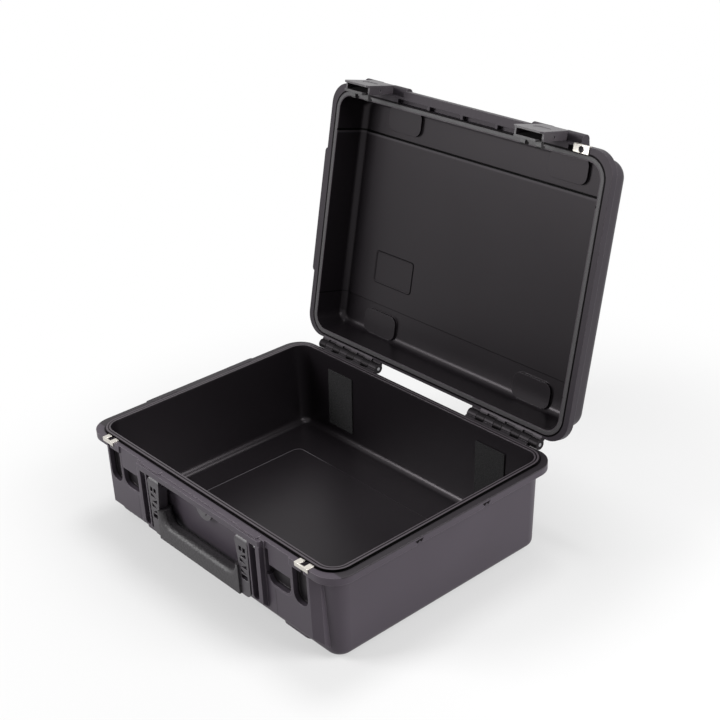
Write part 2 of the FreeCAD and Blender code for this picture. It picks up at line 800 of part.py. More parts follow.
def make_latch(name, middle):
    """A latch: the outer plate, two cheeks and the knuckle between the lid's ears."""
    body = new_body(name)
    tip = rim - d.latch_drop
    head = rim + d.latch_rise
    plate = front.facing(body, plate_out)
    top = d.latch_neck / 2
    low = d.latch_width / 2
    outline(plate, [(middle - top, head, d.thin_rib), (middle - low, tip, 2 * d.thin_rib),
                    (middle + low, tip, 2 * d.thin_rib), (middle + top, head, d.thin_rib)])
    front.inward_pad(body, plate, d.latch_plate)
    cheeks = front.facing(body, plate_in + d.lap)
    foot = tip + 2 * d.thin_rib
    for turn in (-1, 1):
        top_u = d.latch_neck / 2 * turn
        low_u = (d.latch_width - d.thin_rib) / 2 * turn
        step = d.latch_cheek * turn
        outline(cheeks, [(middle + top_u - step, head - d.thin_rib), (middle + low_u - step, foot),
                         (middle + low_u, foot), (middle + top_u, head - d.thin_rib)])
    front.inward_pad(body, cheeks, plate_in + d.lap - cheek_in)
    barrel = new_sketch(body, "YZ_Plane", middle - d.latch_knuckle / 2)
    circle(barrel, -latch_y, latch_z, d.ear_radius - d.clearance)
    pad(body, barrel, d.latch_knuckle)
    neck = new_sketch(body, "YZ_Plane", middle - d.latch_knuckle / 2)
    outline(neck, [(-plate_out, head - 2 * d.thin_rib), (-plate_in, head - 2 * d.thin_rib),
                   (-latch_y, latch_z), (-latch_y - d.ear_radius / 2, latch_z + d.ear_radius * 0.75),
                   (-plate_out, head)])
    pad(body, neck, d.latch_knuckle)
    oval = front.facing(body, plate_out + d.lap)
    oval_z = (tip + head) / 2
    box(oval, middle - d.oval_length / 2, middle + d.oval_length / 2, oval_z - d.oval_width / 2,
        oval_z + d.oval_width / 2, d.oval_width / 2 - 0.2)
    front.inward_pocket(body, oval, d.lap + d.oval_step)
    bore = new_sketch(body, "YZ_Plane", middle - d.latch_knuckle)
    circle(bore, -latch_y, latch_z, d.latch_pin_radius + d.running_fit)
    pocket(body, bore, 2 * d.latch_knuckle, reverse=True)
    pin_hole = new_sketch(body, "YZ_Plane", middle - d.latch_width)
    circle(pin_hole, -trigger_y, trigger_z, d.trigger_pin_radius + d.running_fit)
    pocket(body, pin_hole, 2 * d.latch_width, reverse=True)
    swing_with_lid(body)


def make_trigger(name, middle):
    """A trigger: a barrel on its pin, a lever with a finger lip, and two hooks for the catch."""
    body = new_body(name)
    half = d.latch_neck / 2 - d.latch_cheek - d.clearance
    tip = rim - d.latch_drop - d.trigger_thick
    lever_out = cheek_in + d.lap
    lever_in = lever_out - d.trigger_thick
    start = middle - half
    barrel = new_sketch(body, "YZ_Plane", start)
    circle(barrel, -trigger_y, trigger_z, d.trigger_pin_radius + d.trigger_thick)
    pad(body, barrel, 2 * half)
    lever = new_sketch(body, "YZ_Plane", start)
    outline(lever, [(-trigger_y - d.lap, trigger_z - d.trigger_thick), (-lever_out, tip + d.hook_width),
                    (-lever_out - d.lap, tip), (-lever_in, tip), (-lever_in, trigger_z - d.trigger_thick),
                    (-trigger_y + d.trigger_thick, trigger_z)])
    pad(body, lever, 2 * half)
    hook_top = catch_low - d.clearance * 1.5
    hook_low = hook_top - 2 * d.trigger_thick
    lip_out = bay_face - d.catch_thick - d.clearance * 1.5
    lip_in = deep_face + d.lap
    for turn in (-1, 1):
        hook = new_sketch(body, "YZ_Plane", middle + d.hook_spread * turn - d.hook_width / 2)
        outline(hook, [(-lever_out, hook_low), (-lip_in, hook_low, d.trigger_thick),
                       (-lip_in, catch_low + d.hook_lip), (-lip_out, catch_low + d.hook_lip),
                       (-lip_out, hook_top), (-lever_out, hook_top)])
        pad(body, hook, d.hook_width)
    bore = new_sketch(body, "YZ_Plane", start - d.lap)
    circle(bore, -trigger_y, trigger_z, d.trigger_pin_radius + d.running_fit)
    pocket(body, bore, 2 * half + 2 * d.lap, reverse=True)
    swing_with_lid(body)


def make_pin(name, y, z, start, length, radius, on_lid):
    """A steel pin that lies along X."""
    body = new_body(name)
    round_end = new_sketch(body, "YZ_Plane", start)
    circle(round_end, y, z, radius)
    pad(body, round_end, length)
    if on_lid:
        swing_with_lid(body)


def make_hasp(name, middle, on_lid):
    """A bent padlock plate: flat on the flange, with a lip over the flange's front edge."""
    body = new_body(name)
    out = flange_front + d.hasp_sheet
    inner = half_y + d.rim_strip + d.clearance
    low = lid_face - d.hasp_sheet if on_lid else flange_top
    top = new_sketch(body, "XY_Plane", low)
    front.plan_box(top, middle - d.hasp_width / 2, middle + d.hasp_width / 2, inner, out)
    pad(body, top, d.hasp_sheet)
    lip = front.facing(body, out)
    if on_lid:
        box(lip, middle - d.hasp_width / 2, middle + d.hasp_width / 2, low, low + d.lid_hasp_lip)
    else:
        box(lip, middle - d.hasp_width / 2, middle + d.hasp_width / 2, low + d.hasp_sheet - d.hasp_lip,
            low + d.hasp_sheet)
    front.inward_pad(body, lip, d.hasp_sheet)
    hole = new_sketch(body, "XY_Plane", low + d.hasp_sheet + d.lap)
    radius = d.padlock_bore / 2
    if on_lid:
        circle(hole, middle, hasp_y(), radius)
    else:
        box(hole, middle - radius, middle + radius, hasp_y() - radius, -inner + d.lap)
    pocket(body, hole, d.hasp_sheet + 2 * d.lap)
    if on_lid:
        swing_with_lid(body)


def make_handle(prefix, side, span, pin_names):
    """A folding handle: two latticed arms and a core bar, its rubber grip and its two pins."""
    body = new_body(f"{prefix}_handle")
    face = side.bracket
    back = face - d.arm_thick
    top = handle_z + d.arm_thick / 2
    knee = handle_foot + d.grip_height + d.arm_foot
    inner_top = span - d.arm_width
    inner_low = span - d.thin_rib - d.arm_foot
    arms = side.facing(body, face)
    for turn in (-1, 1):
        outline(arms, [(inner_top * turn, top), (inner_low * turn, knee), (inner_low * turn, handle_foot),
                       ((span - d.thin_rib) * turn, handle_foot, d.arm_round), (span * turn, top)])
    side.inward_pad(body, arms, d.arm_thick)
    core = side.section(body, -inner_low - d.lap)
    middle = back + d.arm_thick / 2
    grip_z = handle_foot + d.grip_height / 2
    box(core, -middle - d.core_depth / 2, -middle + d.core_depth / 2,
        grip_z - d.core_height / 2, grip_z + d.core_height / 2)
    side.along_pad(body, core, 2 * inner_low + 2 * d.lap)
    fillet(body, d.arm_thick / 2 - 0.1, at_level(top))
    lattice(body, side, span, face)
    bore = side.section(body, -span - d.lap)
    circle(bore, -middle, handle_z, d.handle_pin_radius + d.running_fit)
    side.along_pocket(body, bore, 2 * span + 2 * d.lap)

    grip = new_body(f"{prefix}_grip")
    end = inner_low - d.running_fit
    rise = handle_foot + d.grip_height
    shoulder = rise + d.grip_flare
    sleeve = side.facing(grip, middle + d.grip_depth / 2)
    inner = end - d.grip_shoulder
    bend = d.grip_flare - d.lap
    outline(sleeve, [(-end, handle_foot), (end, handle_foot), (end, shoulder), (inner, shoulder),
                     (inner, rise, bend), (-inner, rise, bend), (-inner, shoulder), (-end, shoulder)])
    side.inward_pad(grip, sleeve, d.grip_depth)
    ends = at_level(shoulder)
    fillet(grip, d.grip_round, lambda e: not (side.across_edge(e) or side.end_edge(e, end) or ends(e)))
    hollow = side.section(grip, -inner_low)
    box(hollow, -middle - d.core_depth / 2, -middle + d.core_depth / 2,
        grip_z - d.core_height / 2, grip_z + d.core_height / 2)
    side.along_pocket(grip, hollow, 2 * inner_low)

    pin_in = span - d.arm_width + d.thin_rib
    pin_length = d.arm_width + d.handle_gap + d.side_pocket + d.thin_rib
    for name, start in zip(pin_names, (-pin_in - pin_length, pin_in)):
        pin = new_body(name)
        round_end = side.section(pin, start)
        circle(round_end, -middle, handle_z, d.handle_pin_radius)
        side.along_pad(pin, round_end, pin_length)


def lattice(body, side, span, face):
    """Cut-outs in the front of each arm: slots, then a zigzag web between two rails, then a window."""
    top = handle_z - d.arm_thick / 2
    low = handle_foot + d.grip_height
    step = (top - low) / (LATTICE_CELLS + 2)
    u0 = span - d.arm_foot
    u1 = span - 2 * d.thin_rib
    middle = (u0 + u1) / 2
    rib = d.lattice_rib / 2
    cuts = side.facing(body, face + d.lap)
    for turn in (-1, 1):
        for a, b in ((u0, middle - rib), (middle + rib, u1)):
            outline(cuts, [(a * turn, top), (a * turn, top - step + rib), (b * turn, top - step + rib),
                           (b * turn, top)])
        for i in range(LATTICE_CELLS):
            high = top - step * (i + 1) - rib
            foot = top - step * (i + 2) + rib
            a, b = (u0, u1) if i % 2 else (u1, u0)
            outline(cuts, [(a * turn, high), (a * turn, foot), (b * turn, foot)])
        outline(cuts, [(u0 * turn, low + step - rib), (u0 * turn, low), (u1 * turn, low),
                       (u1 * turn, low + step - rib)])
    side.inward_pocket(body, cuts, d.lattice_depth + d.lap)


def vent_level():
    """Height of the middle of the pressure valve."""
    return flange_low - d.lap - d.vent_drop + d.vent_width / 2


def make_vent():
    cap = new_body("vent_cap")
    back = wall_y + d.clearance
    z = vent_level()
    radius = d.vent_width / 2
    shield = front.facing(cap, back + d.vent_thick)
    outline(shield, [(-radius, z - radius, radius - d.lap), (radius, z - radius, radius - d.lap),
                     (radius, flange_low - d.lap), (-radius, flange_low - d.lap)])
    front.inward_pad(cap, shield, d.vent_thick)
    stem = front.facing(cap, back + d.lap)
    circle(stem, 0, z, d.vent_stem_radius)
    stem_length = d.wall + d.draft + d.lap
    front.inward_pad(cap, stem, stem_length)
    throat = front.facing(cap, back - stem_length + d.lap)
    circle(throat, 0, z, d.vent_stem_radius - d.thin_rib)
    pocket(cap, throat, stem_length - d.lap, reverse=True)

    membrane = new_body("vent_membrane")
    disc = front.facing(membrane, back - d.lap)
    circle(disc, 0, z, d.vent_stem_radius - d.thin_rib - d.running_fit)
    front.inward_pad(membrane, disc, d.lap)

    nut = new_body("vent_nut")
    inside = half_y - d.draft * (rim - z + radius) / (rim - floor_top) - d.clearance
    ring = front.facing(nut, inside)
    circle(ring, 0, z, radius - d.thin_rib)
    circle(ring, 0, z, d.vent_stem_radius + d.running_fit)
    front.inward_pad(nut, ring, d.thin_rib)


def make_strip(name, middle):
    """A strip on the tub's sloping back wall."""
    body = new_body(name)
    top = rim - d.strip_drop
    low = top - d.strip_height
    slope = d.draft / (rim - floor_top)
    section = new_sketch(body, "YZ_Plane", middle - d.strip_width / 2)
    y_top = half_y - slope * (rim - top) - d.running_fit
    y_low = half_y - slope * (rim - low) - d.running_fit
    outline(section, [(y_low - d.strip_thick, low), (y_low, low), (y_top, top),
                      (y_top - d.strip_thick, top)])
    pad(body, section, d.strip_width)


def make_case():
    make_base()
    make_lid()
    make_gasket()
    pin_start = knuckle_x - d.base_knuckle / 2
    pin_length = d.knuckle_pitch * (KNUCKLES - 0.5) + (d.base_knuckle + d.lid_knuckle) / 2
    for label, turn in (("left", -1), ("right", 1)):
        start = pin_start if turn > 0 else -pin_start - pin_length
        make_pin(f"hinge_pin_{label}", hinge_y, hinge_z, start, pin_length, d.hinge_pin_radius, False)
        middle = latch_x * turn
        make_latch(f"latch_{label}", middle)
        make_trigger(f"trigger_{label}", middle)
        ear_pin = d.ear_span - 2 * d.thin_rib - 2 * d.clearance
        make_pin(f"latch_pin_{label}", -latch_y, latch_z, middle - ear_pin / 2, ear_pin,
                 d.latch_pin_radius, True)
        cheek_pin = d.latch_neck
        make_pin(f"trigger_pin_{label}", -trigger_y, trigger_z, middle - cheek_pin / 2, cheek_pin,
                 d.trigger_pin_radius, True)
        make_hasp(f"base_hasp_{label}", hasp_x * turn, False)
        make_hasp(f"lid_hasp_{label}", hasp_x * turn, True)
        make_strip(f"hook_strip_{label}", strip_x * turn)
    make_handle("front", front, d.front_span, ("front_handle_pin_left", "front_handle_pin_right"))
    make_handle("side", left, d.side_span, ("side_handle_pin_front", "side_handle_pin_back"))
    make_vent()


def check_and_write():
    """Stop on any failed feature, any cut that removed nothing and any bad solid, then write the pieces."""
    doc.recompute()
    for item in doc.Objects:
        if "Invalid" in item.State or "Error" in item.State:
            raise RuntimeError(f"{item.Name} failed: {item.State}")
        if item.TypeId == "PartDesign::Pocket" and item.Shape.Volume > item.BaseFeature.Shape.Volume - 1e-3:
            raise RuntimeError(f"{item.Name} cuts nothing")
    os.makedirs("parts", exist_ok=True)
    bodies = [item for item in doc.Objects if item.TypeId == "PartDesign::Body"]
    for body in bodies:
        shape = body.Shape
        if shape.isNull() or not shape.isValid():
            raise RuntimeError(f"{body.Label} has no valid shape")
        if len(shape.Solids) != 1:
            raise RuntimeError(f"{body.Label} has {len(shape.Solids)} solids")
        shape.exportStep(f"parts/{body.Label}.step")
        box_of = shape.BoundBox
        print(f"{body.Label}: {shape.Volume:.0f} mm3, z {box_of.ZMin:.1f} to {box_of.ZMax:.1f}")


make_case()
check_and_write()
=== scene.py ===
# %% [markdown]
# # A waterproof utility case
#
# The case stands open on a pale floor: a moulded black tub, a lid swung back past upright, two trigger latches,
# padlock plates of stainless steel, a pressure valve and folding handles. The solid parts come from the packed
# model. This lesson gives each of them its real finish and adds the fine things that a solid leaves out: the
# fuzzy strips, the bare label frame in the lid and the small raised disc on the valve.

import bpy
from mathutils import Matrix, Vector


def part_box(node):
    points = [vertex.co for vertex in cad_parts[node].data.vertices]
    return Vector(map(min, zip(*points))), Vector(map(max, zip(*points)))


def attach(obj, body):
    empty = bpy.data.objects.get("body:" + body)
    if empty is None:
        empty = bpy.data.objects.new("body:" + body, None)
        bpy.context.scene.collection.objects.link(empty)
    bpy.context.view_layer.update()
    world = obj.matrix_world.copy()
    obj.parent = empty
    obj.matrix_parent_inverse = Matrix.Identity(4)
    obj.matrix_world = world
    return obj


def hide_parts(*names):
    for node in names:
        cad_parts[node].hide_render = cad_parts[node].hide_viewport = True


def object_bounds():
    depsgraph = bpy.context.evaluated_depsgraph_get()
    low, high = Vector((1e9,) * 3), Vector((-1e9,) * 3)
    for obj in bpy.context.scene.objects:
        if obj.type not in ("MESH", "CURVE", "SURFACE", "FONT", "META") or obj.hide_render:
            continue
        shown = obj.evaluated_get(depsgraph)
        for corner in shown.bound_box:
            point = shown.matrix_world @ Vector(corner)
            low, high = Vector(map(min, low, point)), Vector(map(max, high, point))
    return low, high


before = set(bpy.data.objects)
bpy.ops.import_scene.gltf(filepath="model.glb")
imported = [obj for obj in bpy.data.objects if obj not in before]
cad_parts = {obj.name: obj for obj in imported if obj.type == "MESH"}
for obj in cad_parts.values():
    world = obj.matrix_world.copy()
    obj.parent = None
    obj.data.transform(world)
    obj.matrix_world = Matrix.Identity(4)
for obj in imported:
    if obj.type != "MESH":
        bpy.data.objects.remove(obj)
cad_box = [list(corner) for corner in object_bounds()]
print("nodes", len(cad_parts), "box", cad_box)

# %% Tools of this lesson
import math

import bmesh
import bpy
from mathutils import Matrix, Vector

MM = 0.001
scene = bpy.context.scene
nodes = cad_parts
print("tools ready")

# %% [markdown]
# ## The camera
#
# The photograph was taken from the front right and above, with a long lens. A camera can be placed by eye, but a
# wrong lens bends every edge a little. Here its place and its three axes were worked out from the straight edges
# of the rim and the lid, so a point of the case falls on the pixel where it is seen.

# %% Camera
camera_data = bpy.data.cameras.new("photo_camera")
camera_data.sensor_width = 36.0
camera_data.lens = 69.127
camera = bpy.data.objects.new("photo_camera", camera_data)
scene.collection.objects.link(camera)
camera_right = Vector((0.66160, 0.74844, -0.04615))
camera_up = Vector((-0.31079, 0.32970, 0.89146))
camera_back = Vector((0.68242, -0.57544, 0.45074))
camera_turn = Matrix((camera_right, camera_up, camera_back)).transposed()
camera.matrix_world = Matrix.Translation((1.24105, -0.96300, 1.03762)) @ camera_turn.to_4x4()
scene.camera = camera
print("camera at", [round(v, 3) for v in camera.location])

# %% [markdown]
# ## Where things are on the case
#
# A pattern that follows the moulding needs to know where the moulding is: the mouth of the tub, the height of its
# rim and the hinge that the lid turns on. These few sizes are the same for every finish. The lid is modelled where
# it stands open, so turning its coordinates back about the hinge gives its place on the closed case, where its
# walls are upright and a mask is easy to write.

# %% Places on the case
RIM = 131 * MM
MOUTH = (238 * MM, 173.5 * MM)
MOUTH_CORNER = 21 * MM
HINGE = (0.0, 195 * MM, 130 * MM)
LID_OPEN = math.radians(102.4)
FLANGE_TOP = RIM - 2.5 * MM
LID_CEILING = RIM + 50 * MM
LID_PANEL = LID_CEILING - 2 * MM
open_lid = (Matrix.Translation(HINGE) @ Matrix.Rotation(-LID_OPEN, 4, "X")
            @ Matrix.Translation(-Vector(HINGE)))
print("lid panel middle, open, at", [round(v, 3) for v in open_lid @ Vector((0, 0, LID_PANEL))])

# %% [markdown]
# ## Shader arithmetic
#
# A finish is a small sum: a grain, a mask, a colour. Drawn by hand as a node tree it is hard to read and to change.
# One small class wraps an output socket instead, and lets Python's own signs add the Math nodes. Any other node
# comes from its one method, which sets the node's settings first and then the values or links of its sockets.

# %% The socket class
class Wire:
    """An output socket of a shader node; arithmetic on it adds Math nodes."""

    def __init__(self, tree, socket=None):
        self.tree = tree
        self.socket = socket

    def add_node(self, kind, settings=None, sockets=None, output=0):
        """A new node: its settings first, then the values or links of its sockets."""
        node = self.tree.nodes.new(kind)
        for name, value in (settings or {}).items():
            setattr(node, name, value)
        for name, value in (sockets or {}).items():
            if isinstance(value, Wire):
                self.tree.links.new(value.socket, node.inputs[name])
            else:
                node.inputs[name].default_value = value
        return Wire(self.tree, node.outputs[output] if len(node.outputs) else None)

    def output(self, name):
        """Another output of the same node."""
        return Wire(self.tree, self.socket.node.outputs[name])

    def maths(self, operation, first, second=0.0):
        return self.add_node("ShaderNodeMath", {"operation": operation}, {0: first, 1: second})

    def __add__(self, other):
        return self.maths("ADD", self, other)

    def __radd__(self, other):
        return self.maths("ADD", other, self)

    def __sub__(self, other):
        return self.maths("SUBTRACT", self, other)

    def __rsub__(self, other):
        return self.maths("SUBTRACT", other, self)

    def __mul__(self, other):
        return self.maths("MULTIPLY", self, other)

    def __rmul__(self, other):
        return self.maths("MULTIPLY", other, self)

    def least(self, other):
        return self.maths("MINIMUM", self, other)

    def most(self, other):
        return self.maths("MAXIMUM", self, other)

    def size(self):
        return self.maths("ABSOLUTE", self)

    def root(self):
        return self.maths("SQRT", self)

    def ramp(self, low, high):
        """0 at low and 1 at high, smooth between them."""
        return self.add_node("ShaderNodeMapRange", {"interpolation_type": "SMOOTHSTEP"},
                             {"Value": self, "From Min": low, "From Max": high})

    def band(self, low, high, soft):
        """1 between low and high, with soft edges."""
        return self.ramp(low - soft, low + soft) * self.ramp(high + soft, high - soft)


print("shader arithmetic ready")

# %% Helpers that every finish uses
def blend_colour(base, share, first, second):
    """A colour that goes from first to second as share goes from 0 to 1."""
    return base.add_node("ShaderNodeMix", {"data_type": "RGBA", "clamp_factor": True},
                         {0: share, 6: first, 7: second}, output=2)


def tone(red, green, blue):
    return (red, green, blue, 1.0)


def new_finish(name):
    material = bpy.data.materials.new(name)
    material.use_nodes = True
    tree = material.node_tree
    tree.nodes.clear()
    return material, Wire(tree)


def place_of(base, turn_x=0.0, about=(0.0, 0.0, 0.0), scale=(1.0, 1.0, 1.0)):
    """Object coordinates, turned about an axis along X through a point."""
    raw = base.add_node("ShaderNodeTexCoord").output("Object")
    spin = Matrix.Rotation(turn_x, 3, "X")
    about = Vector(about)
    back = about - spin @ about
    return base.add_node("ShaderNodeMapping", {},
                         {"Vector": raw, "Location": back, "Rotation": (turn_x, 0.0, 0.0), "Scale": scale})


def parts_of(place):
    """The x, y and z of a place."""
    split = place.add_node("ShaderNodeSeparateXYZ", {}, {0: place})
    return [split.output(axis) for axis in "XYZ"]


def noise(place, scale, detail=2.0, roughness=0.5):
    return place.add_node("ShaderNodeTexNoise", {}, {"Vector": place, "Scale": scale, "Detail": detail,
                                                     "Roughness": roughness})


def rounded_edges(base, radius):
    """The normal with its edges rounded, and a mask that is 1 on an edge."""
    soft = base.add_node("ShaderNodeBevel", {"samples": 4}, {"Radius": radius})
    plain = base.add_node("ShaderNodeNewGeometry").output("Normal")
    dot = base.add_node("ShaderNodeVectorMath", {"operation": "DOT_PRODUCT"}, {0: soft, 1: plain}).output("Value")
    return soft, (1.0 - dot).ramp(0.01, 0.25)


def bumped(base, height, strength, depth, normal):
    return base.add_node("ShaderNodeBump", {}, {"Strength": strength, "Distance": depth, "Height": height,
                                                "Normal": normal})


def close_finish(material, base, **inputs):
    """The shader and its output; inputs are named with underscores for spaces."""
    named = {key.replace("_", " "): value for key, value in inputs.items()}
    shader = base.add_node("ShaderNodeBsdfPrincipled", {}, named)
    base.add_node("ShaderNodeOutputMaterial", {}, {"Surface": shader})
    return material


def give(material, *names):
    """Puts a finish on CAD nodes through their material slots."""
    for name in names:
        slots = nodes[name].data.materials
        if len(slots) == 0:
            slots.append(material)
        for i in range(len(slots)):
            slots[i] = material


print("finish helpers ready")

# %% [markdown]
# ## Moulded shells
#
# The tub and lid are black structural resin. Outside, the mould gives them a fine even grain that scatters light to
# a soft violet grey. Inside they are smoother and show long dim reflections, and they are painted darker, partly for
# that smoother skin and partly as painted shade. The rim is a stack of thin lines: an inner lip, a sealing land with
# a groove and an outer lip. Its land is painted near black, its lips are painted pale as highlights, and the groove
# and the gap beside the outer lip are painted dark as shade. Those lines are under a millimetre deep, so they are
# painted by distance from the mouth rather than cut. One function measures that distance for any rounded
# rectangle, because the floor's panel and the label frame need it too.

# %% Distance from a rounded outline
def outline_distance(x, y, half, corner):
    """How far a place lies outside a rounded rectangle about the middle; less than 0 inside it."""
    over_x = x.size() - (half[0] - corner)
    over_y = y.size() - (half[1] - corner)
    out_x = over_x.most(0.0)
    out_y = over_y.most(0.0)
    return (out_x * out_x + out_y * out_y).root() + over_x.most(over_y).least(0.0) - corner


def rim_line_shade(away):
    """Painted shade on the rim: in the groove of the sealing land and in the gap beside the outer lip."""
    soft = 0.25 * MM
    return away.band(2.1 * MM, 3.4 * MM, soft).most(away.band(6.3 * MM, 8.6 * MM, soft))


def rim_lip_highlights(away):
    """The two raised lips of the rim, painted paler as their highlights."""
    soft = 0.3 * MM
    return away.band(0.1 * MM, 1.9 * MM, soft).most(away.band(3.8 * MM, 6.0 * MM, soft))


print("rim lines at 2.1 to 3.4 and 6.3 to 8.6 mm")

# %% [markdown]
# ## The shells' finish
#
# Edges of a moulding are never sharp, so a bevelled normal rounds every edge for the light, and every edge is painted
# paler, partly as rubbed wear and partly as a painted highlight. Hollows such as the latch bays, the flange and the
# hinges are painted nearly black as shade, and the lid's whole outside is painted darker as shade. Seams are painted
# black, and so is the painted shade of the rim's groove, the notches and the panels' edges, which takes no highlight
# at all: a paint of black with Metallic at 1 mirrors nothing, while black plastic would still shine.

# %% Shell finish
OUTER_DARK = tone(0.036, 0.0295, 0.038)
OUTER_PALE = tone(0.049, 0.041, 0.052)
# Paler edges: rubbed wear and a painted highlight.
EDGE_WEAR_AND_HIGHLIGHT = tone(0.200, 0.176, 0.200)
# Painted shade of hollows, the flange, the hinge and the lid's outside.
PAINTED_SHADE_TONE = tone(0.0070, 0.0060, 0.0070)
# Inside: a smoother skin, and painted shade.
INNER_AND_SHADE = tone(0.0066, 0.0054, 0.0066)
# Painted highlight along a step.
STEP_HIGHLIGHT_TONE = tone(0.110, 0.102, 0.112)
RIM_TONE = tone(0.007, 0.006, 0.007)
# Painted highlight of the rim's lips.
RIM_LIP_HIGHLIGHT = tone(0.050, 0.043, 0.049)
# Black for seams and for painted shade lines; with Metallic at 1 it mirrors nothing.
SEAM_AND_SHADE_BLACK = tone(0.003, 0.003, 0.003)


def shell_finish(name, turn_x, masks, gloss):
    """Moulded shell; masks: inside, painted shade of hollows, rim top, seams and painted shade lines, painted
    highlight line.
    """
    material, base = new_finish(name)
    place = place_of(base, turn_x, HINGE)
    x, y, z = parts_of(place)
    away = outline_distance(x, y, MOUTH, MOUTH_CORNER)
    within, painted_shade, rim_top, marks, step_highlight = masks(x, y, z, away)
    grain = noise(place, 1500.0, 3.0)
    cloud = noise(place, 9.0, 2.0)
    normal, edge = rounded_edges(base, 1.1 * MM)
    bump = bumped(base, grain, 0.35 - 0.25 * within, 0.12 * MM, normal)
    outer = blend_colour(base, cloud, OUTER_DARK, OUTER_PALE)
    # Painted shade: hollows, the flange, the hinge and the lid's outside are painted towards near black.
    outer = blend_colour(base, painted_shade, outer, PAINTED_SHADE_TONE)
    # The inside is painted darker: partly a smoother skin, partly painted shade.
    body = blend_colour(base, within, outer, INNER_AND_SHADE)
    # The rim's land is painted near black, with its lips painted pale as highlights.
    land = blend_colour(base, rim_lip_highlights(away), RIM_TONE, RIM_LIP_HIGHLIGHT)
    body = blend_colour(base, rim_top * away.band(-0.5 * MM, 8.8 * MM, 0.3 * MM), body, land)
    # Every edge is painted paler, partly as rubbed wear and partly as a painted highlight; less inside and in the
    # painted shade.
    body = blend_colour(base, edge * (0.70 - 0.35 * within) * (1.0 - 0.8 * painted_shade), body, EDGE_WEAR_AND_HIGHLIGHT)
    # A pale line painted along a step, as a highlight.
    body = blend_colour(base, step_highlight, body, STEP_HIGHLIGHT_TONE)
    # Painted shade in the rim's groove and beside its outer lip joins the seams and the other painted shade lines.
    marks = marks.most(rim_top * rim_line_shade(away))
    colour = blend_colour(base, marks, body, SEAM_AND_SHADE_BLACK)
    rough = 0.44 - 0.10 * within + 0.08 * (cloud - 0.5) + 0.05 * (grain - 0.5)
    return close_finish(material, base, Base_Color=colour, Roughness=rough, Metallic=marks, Normal=bump,
                        Specular_IOR_Level=gloss, Specular_Tint=tone(1.0, 0.92, 0.98))


print("shell tones", [round(part, 3) for part in OUTER_DARK[:3]], "outside,",
      [round(part, 4) for part in INNER_AND_SHADE[:3]], "inside")

# %% [markdown]
# ## Masks of the two shells
#
# A mask is a number from 0 to 1 that says how much a place belongs to something. The walls of a moulding lean, so
# that it comes out of its mould: the mouth's outline is drawn in by the same lean before it parts inside from
# outside. Seams, the painted shade in and under the notches below the right flange, and the painted shade and
# highlight lines along the edges of the panels are masks of the same kind, and so is the painted shade of hollows.

# %% Places that the masks share
TUB_LEAN = 6 / 127
LID_LEAN = 3 / 50
WALL_OUT, WALL_IN = 2.5 * MM, 1.5 * MM
HINGE_FROM, HINGE_TO = 184 * MM, 187 * MM
HINGE_SHADE = 0.55
SEAM_X = 146.5 * MM
BAY_X = (111 * MM, 213 * MM)
BAY_Y = (-182 * MM, -175 * MM)
BAY_Z = (30 * MM, 119 * MM)
NOTCH_Y = 56 * MM
NOTCH_OUT, NOTCH_IN = 7.3 * MM, 6.7 * MM
FLOOR_PANEL = (174 * MM, 103.5 * MM)
FLOOR_PANEL_CORNER = 12 * MM
LID_PANEL_Y = 122.5 * MM
FRAME_MIDDLE = (-136 * MM, 67.5 * MM)
FRAME_SIZE = (78 * MM, 47 * MM)
FRAME_CORNER = 5 * MM
print("bays from", BAY_X[0], "to", BAY_X[1], "m either side of the middle")


# %% Tub
def notch_shade(x, y, z):
    """Painted shade in the two notches under the right flange and round their mouths, and a painted shadow triangle
    on the wall below each.
    """
    aside = (y.size() - NOTCH_Y).size()
    inside = aside.ramp(7.5 * MM, 7 * MM) * z.band(110.5 * MM, 126 * MM, 0.2 * MM)
    mouth_top = 125 * MM
    mouth = (aside + 0.9 * (mouth_top - z)).ramp(NOTCH_OUT, NOTCH_IN) * z.band(110 * MM, mouth_top, 0.3 * MM)
    wall_top = 111.5 * MM
    wall = (aside + 0.85 * (wall_top - z)).ramp(NOTCH_OUT, NOTCH_IN) * z.band(102 * MM, wall_top, 0.3 * MM)
    marks = inside * x.band(239 * MM, 254 * MM, 1 * MM)
    marks = marks.most(mouth * x.ramp(250 * MM, 251 * MM))
    return marks.most(wall * x.band(236 * MM, 245 * MM, 1 * MM))


def tub_masks(x, y, z, away):
    within = (away + TUB_LEAN * (RIM - z)).ramp(WALL_OUT, WALL_IN) * z.ramp(1 * MM, 3 * MM)
    flange = z.ramp(126.5 * MM, 127.5 * MM) * y.ramp(-174 * MM, -172 * MM)
    back = y.ramp(176 * MM, 178 * MM)
    bays = y.band(*BAY_Y, 1 * MM) * x.size().band(*BAY_X, 0.5 * MM) * z.band(*BAY_Z, 1 * MM)
    # Painted shade: the flange above 127 mm except at the front, the back wall behind 177 mm and the latch bays down
    # to 30 mm are painted nearly black.
    painted_shade = (flange.most(back) * 0.9).most(bays)
    rim_top = z.ramp(FLANGE_TOP - 0.4 * MM, FLANGE_TOP - 0.2 * MM)
    seam = (x.size() - SEAM_X).size().ramp(0.55 * MM, 0.25 * MM) * y.ramp(-178 * MM, -180 * MM)
    # Seams, and the painted shade of the notches.
    marks = (seam * z.band(22 * MM, 66 * MM, 1 * MM) * 0.7).most(notch_shade(x, y, z))
    marks = marks.most(HINGE_SHADE * y.ramp(HINGE_FROM, HINGE_TO))
    # Painted highlight: a pale line along the floor panel's edge, on the left part of the tub only, where light
    # catches it.
    step_highlight = outline_distance(x, y, FLOOR_PANEL, FLOOR_PANEL_CORNER).size().ramp(1.7 * MM, 0.6 * MM)
    step_highlight = step_highlight * z.ramp(8 * MM, 7 * MM) * within * x.ramp(-90 * MM, -150 * MM)
    return within, painted_shade, rim_top, marks, step_highlight


